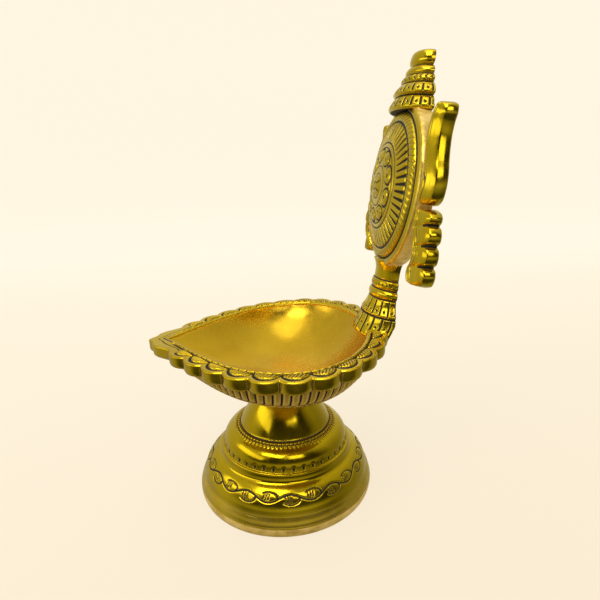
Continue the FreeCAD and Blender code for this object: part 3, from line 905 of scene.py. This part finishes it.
def make_ribbon(name, side, node):
    """Lobed ribbon that hangs below a flame."""
    outer = [(31.0, 48.4), (33.6, 48.1), (36.2, 47.3), (37.3, 46.2), (37.1, 45.0), (35.9, 44.0),
             (37.6, 43.2), (38.9, 41.4), (38.8, 39.6), (37.0, 38.0), (38.8, 37.0), (39.6, 35.0),
             (39.2, 33.2), (37.4, 31.8), (39.2, 30.8), (39.8, 29.4), (38.8, 26.7), (35.6, 25.3)]
    inner = [(29.8, 48.2), (28.6, 47.6), (27.8, 46.8), (27.2, 45.4), (26.8, 44.0), (26.6, 43.0),
             (26.8, 42.0), (27.4, 40.6), (28.2, 39.2), (29.2, 37.6), (30.0, 36.2), (30.4, 34.6),
             (30.2, 33.0), (29.6, 31.4), (28.4, 30.0), (27.5, 28.2), (28.6, 26.2), (31.8, 25.3)]
    count = 150
    rows, patina_and_shade, cast = side_form(inner, outer, side, ribbon_relief, count)
    lobe_h = smooth_run(outer, count)[:, 1][:, None]
    # painted shade in the notches between the lobes, on the face's edge and the wall
    pinch_shade = np.maximum.reduce([line(lobe_h - place, 0.55) for place in (44.0, 38.0, 31.8)])
    rim = slice(FACE_COLS - 7, FACE_COLS + 9)
    patina_and_shade[:, rim] = np.maximum(patina_and_shade[:, rim], pinch_shade)
    return grid_piece(name, rows, {"patina_and_shade": patina_and_shade, "cast": cast}, plate_mat, "bowl", node)


make_pedestal()
make_border()
make_shell()
make_disc()
make_stem()
make_crown()
for suffix, side in (("right", 1), ("left", -1)):
    make_flame("flame_curl_" + suffix, side, "flame_" + suffix)
    make_ribbon("ribbon_lobes_" + suffix, side, "ribbon_" + suffix)

for node in ("bowl_stud", "stem_screw", "stem_pin", "crown_pin", "side_pins"):
    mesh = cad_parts[node].data
    mesh.materials.clear()
    mesh.materials.append(screw_mat)

# ---------------------------------------------------------------- stage, light and camera

def make_stage():
    """Pale paper floor that curves up into a wall all round, glowing with its own painted light."""
    reach, radius, wall, around = 1.1, 0.5, 1.8, 128
    curve = np.linspace(0, math.pi / 2, 16)
    profile = [(0.001, 0.0), (0.3, 0.0), (0.7, 0.0)]
    profile += [(reach + radius * math.sin(a), radius - radius * math.cos(a)) for a in curve]
    profile += [(reach + radius, wall)]
    turn = [TAU * k / around for k in range(around)]
    verts = [(r * math.cos(a), r * math.sin(a), z) for r, z in profile for a in turn]
    faces = []
    for low in range(0, (len(profile) - 1) * around, around):
        high = low + around
        for k in range(around):
            after = (k + 1) % around
            faces.append((low + k, low + after, high + after, high + k))
    mesh = bpy.data.meshes.new("stage_floor")
    mesh.from_pydata(verts, [], faces)
    mesh.shade_smooth()
    floor = bpy.data.objects.new("stage_floor", mesh)
    bpy.context.scene.collection.objects.link(floor)
    mat, nodes, links, shader = new_material("stage_paper")
    coord = nodes.new("ShaderNodeTexCoord").outputs["Object"]
    split = nodes.new("ShaderNodeSeparateXYZ")
    links.new(coord, split.inputs[0])
    # the paper's glow is set darker towards the front
    depth = map_range(nodes, links, split.outputs[0], -0.5, 0.15, 0.0, 1.0)
    paper_glow = ramp(nodes, links, depth, [(0.0, (0.98, 0.90, 0.75)), (1.0, (0.88, 0.77, 0.60))])
    links.new(paper_glow, shader.inputs["Emission Color"])
    shader.inputs["Emission Strength"].default_value = 0.93
    links.new(mix(nodes, links, 0.88, paper_glow, (0.0, 0.0, 0.0)), shader.inputs["Base Color"])
    shader.inputs["Roughness"].default_value = 0.9
    mesh.materials.append(mat)
    # hidden from reflections: the brass mirrors the studio's shading below, not this paper
    floor.visible_glossy = False


def area_light(name, place, target, size, radiance):
    """Soft box of a size in metres whose face shows the same radiance, however big it is."""
    data = bpy.data.lights.new(name, "AREA")
    data.shape = "RECTANGLE"
    data.size, data.size_y = size
    data.energy = radiance * math.pi * size[0] * size[1]
    data.color = (1, 0.99, 0.96)
    light = bpy.data.objects.new(name, data)
    light.location = place
    light.rotation_euler = (Vector(target) - Vector(place)).to_track_quat("-Z", "Y").to_euler()
    bpy.context.scene.collection.objects.link(light)


def make_camera():
    """Close, wide-angle camera. Its place, angles, lens and shift were fitted to the reference view."""
    azimuth, elevation, roll = (math.radians(a) for a in (84.3, 15.9, -0.6))
    level = math.cos(elevation)
    back = Vector((math.sin(azimuth) * level, -math.cos(azimuth) * level, math.sin(elevation)))
    right = Vector((0, 0, 1)).cross(back).normalized()
    up = back.cross(right)
    right_rolled = math.cos(roll) * right + math.sin(roll) * up
    up_rolled = -math.sin(roll) * right + math.cos(roll) * up
    data = bpy.data.cameras.new("camera")
    data.sensor_width = 36.0
    data.lens = 26.4
    data.shift_x = -0.0178
    data.shift_y = -0.0017
    data.clip_start = 0.005
    camera = bpy.data.objects.new("camera", data)
    rotation = Matrix((right_rolled, up_rolled, back)).transposed().to_4x4()
    camera.matrix_world = Matrix.Translation((0.1609, -0.0050, 0.1231)) @ rotation
    bpy.context.scene.collection.objects.link(camera)
    bpy.context.scene.camera = camera


make_stage()
area_light("top_soft", (0.02, -0.02, 0.70), (0, 0, 0.06), (0.42, 0.42), 0.9)
area_light("key_window", (0.30, -0.20, 0.62), (0, 0, 0.06), (0.38, 0.28), 4.2)
area_light("left_card", (0.08, -0.25, 0.18), (0.0, 0.04, 0.13), (0.30, 0.10), 1.3)
area_light("plate_card", (0.20, 0.07, 0.225), (0.034, 0.045, 0.125), (0.12, 0.08), 2.2)
make_camera()

world = bpy.data.worlds.new("studio")
world.use_nodes = True
sky_nodes, sky_links = world.node_tree.nodes, world.node_tree.links
direction = sky_nodes.new("ShaderNodeTexCoord").outputs["Generated"]


def sky_shade(axis, stops):
    """Grey shade of the studio along an axis, from -1 behind it to 1 towards it."""
    along = sky_nodes.new("ShaderNodeVectorMath")
    along.operation = "DOT_PRODUCT"
    sky_links.new(direction, along.inputs[0])
    along.inputs[1].default_value = axis
    place = map_range(sky_nodes, sky_links, along.outputs["Value"], -1, 1, 0, 1)
    return ramp(sky_nodes, sky_links, place, [(at, (shade, shade, shade * 0.9)) for at, shade in stops])


front_band = sky_shade((0.0, 0.0, 1.0), [(0.0, 0.05), (0.26, 0.05), (0.38, 0.30), (0.45, 0.50), (0.53, 0.40),
                                        (0.60, 0.06), (0.85, 0.02), (1.0, 0.25)])
back_wall = sky_shade((0.0, 0.0, 1.0), [(0.0, 0.3), (0.42, 0.75), (1.0, 0.75)])
towards_front = sky_shade((1.0, 0.0, 0.0), [(0.0, 0.0), (0.55, 0.0), (0.75, 1.0), (1.0, 1.0)])
side_fall = sky_shade((0.0, 1.0, 0.0), [(0.0, 0.6), (0.3, 0.75), (0.5, 0.95), (0.72, 0.85), (1.0, 0.3)])
studio = mix(sky_nodes, sky_links, towards_front, back_wall, front_band)
studio = mix(sky_nodes, sky_links, 1.0, studio, side_fall, blend="MULTIPLY")
sky_links.new(studio, sky_nodes["Background"].inputs[0])
bpy.context.scene.world = world
bpy.context.scene.view_settings.view_transform = "Standard"
